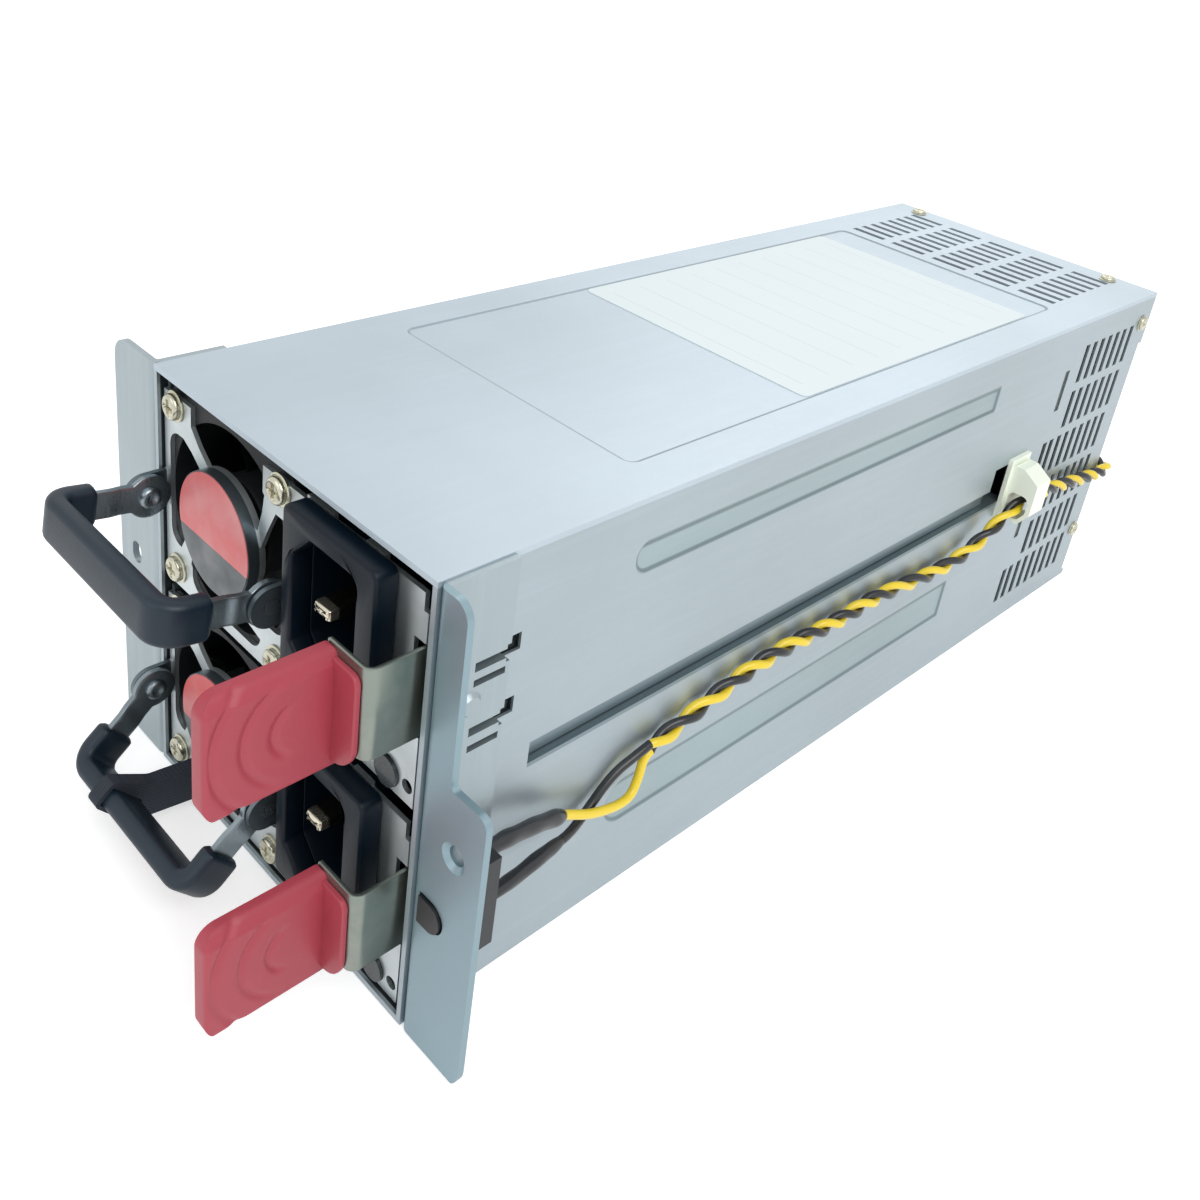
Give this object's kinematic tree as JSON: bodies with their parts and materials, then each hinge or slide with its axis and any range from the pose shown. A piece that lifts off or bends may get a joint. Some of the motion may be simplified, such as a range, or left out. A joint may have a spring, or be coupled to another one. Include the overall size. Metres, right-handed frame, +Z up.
{
  "type": "hot swap server power supply",
  "caption": "Sheet steel cage with stacked plug-in power supply modules, each with a fan, mains inlet, swinging handle and red release latch, and a twisted pair clipped to one side.",
  "frame": {"origin": "middle of the cage's underside; the cage runs 114 mm to the front and to the rear of it", "axes": "+X to the side with the reset button, the front faces -Y and +Y runs to the rear, +Z up"},
  "size_m": [0.1046, 0.261, 0.085],
  "materials": {
    "cage_steel": "satin zinc coated sheet",
    "bracket_steel": "brushed plated sheet",
    "nickel_plate": "plated, softly bright",
    "screw_plate": "yellowish nickel plate",
    "arm_steel": "dark satin",
    "grip_nylon": "fine grained, navy black",
    "inlet_plastic": "smooth black",
    "fan_plastic": "black",
    "fan_sticker": "bare two-colour sticker, red above slate",
    "latch_red": "crimson, fine grained",
    "label_paper": "bare satin label",
    "clip_nylon": "ivory",
    "grommet_rubber": "black",
    "switch_plastic": "black",
    "heat_shrink": "black, slightly lumpy",
    "yellow_insulation": "yellow",
    "black_insulation": "black",
    "pair_insulation": "yellow and black wires laid together",
    "blade_metal": "plated",
    "led_plastic": "milky",
    "board_laminate": "green laminate",
    "sink_aluminium": "plain",
    "component_case": "dark sleeves",
    "strap_fabric": "woven navy black"
  },
  "bodies": {
    "cage": {"base_plate": "cage_steel", "left_wall": "cage_steel", "right_wall": "cage_steel", "top_cover": "cage_steel", "mid_shelf": "cage_steel", "rear_panel": "cage_steel", "left_bracket": "bracket_steel", "right_bracket": "bracket_steel", "bracket_rivets": "bracket_steel", "cover_screws": "screw_plate", "backplane_board": "board_laminate", "bay_connectors": "fan_plastic", "cable_grommets": "grommet_rubber", "rating_label": "label_paper", "cable_clip": "clip_nylon", "reset_switch": "switch_plastic", "lead_sleeves": "heat_shrink", "yellow_lead": "yellow_insulation", "black_lead": "black_insulation", "twisted_pair": "pair_insulation"},
    "button": {"reset_button": "switch_plastic"},
    "upper_module": {"upper_case": "cage_steel", "upper_case_cover": "cage_steel", "upper_front_plate": "nickel_plate", "upper_fan_frame": "fan_plastic", "upper_hub_label": "fan_sticker", "upper_fan_screws": "screw_plate", "upper_inlet_housing": "inlet_plastic", "upper_inlet_blades": "blade_metal", "upper_led_lens": "led_plastic", "upper_main_board": "board_laminate", "upper_heatsinks": "sink_aluminium", "upper_board_parts": "component_case"},
    "upper_handle": {"upper_handle_arms": "arm_steel", "upper_handle_grip": "grip_nylon", "upper_handle_rivets": "arm_steel"},
    "upper_latch": {"upper_latch_spring": "nickel_plate", "upper_latch_grip": "latch_red"},
    "upper_fan": {"upper_fan_rotor": "fan_plastic"},
    "lower_module": {"lower_case": "cage_steel", "lower_case_cover": "cage_steel", "lower_front_plate": "nickel_plate", "lower_fan_frame": "fan_plastic", "lower_hub_label": "fan_sticker", "lower_fan_screws": "screw_plate", "lower_inlet_housing": "inlet_plastic", "lower_inlet_blades": "blade_metal", "lower_led_lens": "led_plastic", "lower_main_board": "board_laminate", "lower_heatsinks": "sink_aluminium", "lower_board_parts": "component_case"},
    "lower_handle": {"lower_handle_arms": "arm_steel", "lower_handle_grip": "grip_nylon", "lower_handle_rivets": "arm_steel", "cord_strap": "strap_fabric"},
    "lower_latch": {"lower_latch_spring": "nickel_plate", "lower_latch_grip": "latch_red"},
    "lower_fan": {"lower_fan_rotor": "fan_plastic"}
  },
  "joints": [
    {"name": "upper_module_slide", "type": "slide", "parent": "cage", "child": "upper_module", "axis": [0, -1, 0], "range_m": [0, 0.17]},
    {"name": "upper_handle_swing", "type": "hinge", "parent": "upper_module", "child": "upper_handle", "pos_m": [-0.0162, -0.1172, 0.0612], "axis": [-1, 0, 0], "range_deg": [-68, 52]},
    {"name": "upper_latch_press", "type": "hinge", "parent": "upper_module", "child": "upper_latch", "pos_m": [0.0354, -0.089, 0.0622], "axis": [0, 0, -1], "range_deg": [0, 4], "stiffness_Nm_per_rad": 0.6},
    {"name": "upper_fan_spin", "type": "hinge", "parent": "upper_module", "child": "upper_fan", "pos_m": [-0.01675, -0.099, 0.0622], "axis": [0, 1, 0], "continuous": true},
    {"name": "lower_module_slide", "type": "slide", "parent": "cage", "child": "lower_module", "axis": [0, -1, 0], "range_m": [0, 0.17]},
    {"name": "lower_handle_swing", "type": "hinge", "parent": "lower_module", "child": "lower_handle", "pos_m": [-0.0162, -0.1172, 0.0203], "axis": [-1, 0, 0], "range_deg": [0, 80]},
    {"name": "lower_latch_press", "type": "hinge", "parent": "lower_module", "child": "lower_latch", "pos_m": [0.0354, -0.089, 0.0213], "axis": [0, 0, -1], "range_deg": [0, 4], "stiffness_Nm_per_rad": 0.6},
    {"name": "lower_fan_spin", "type": "hinge", "parent": "lower_module", "child": "lower_fan", "pos_m": [-0.01675, -0.099, 0.0213], "axis": [0, 1, 0], "continuous": true},
    {"name": "reset_press", "type": "slide", "parent": "cage", "child": "button", "axis": [0, 1, 0], "range_m": [0, 0.001], "stiffness_N_per_m": 300}
  ]
}
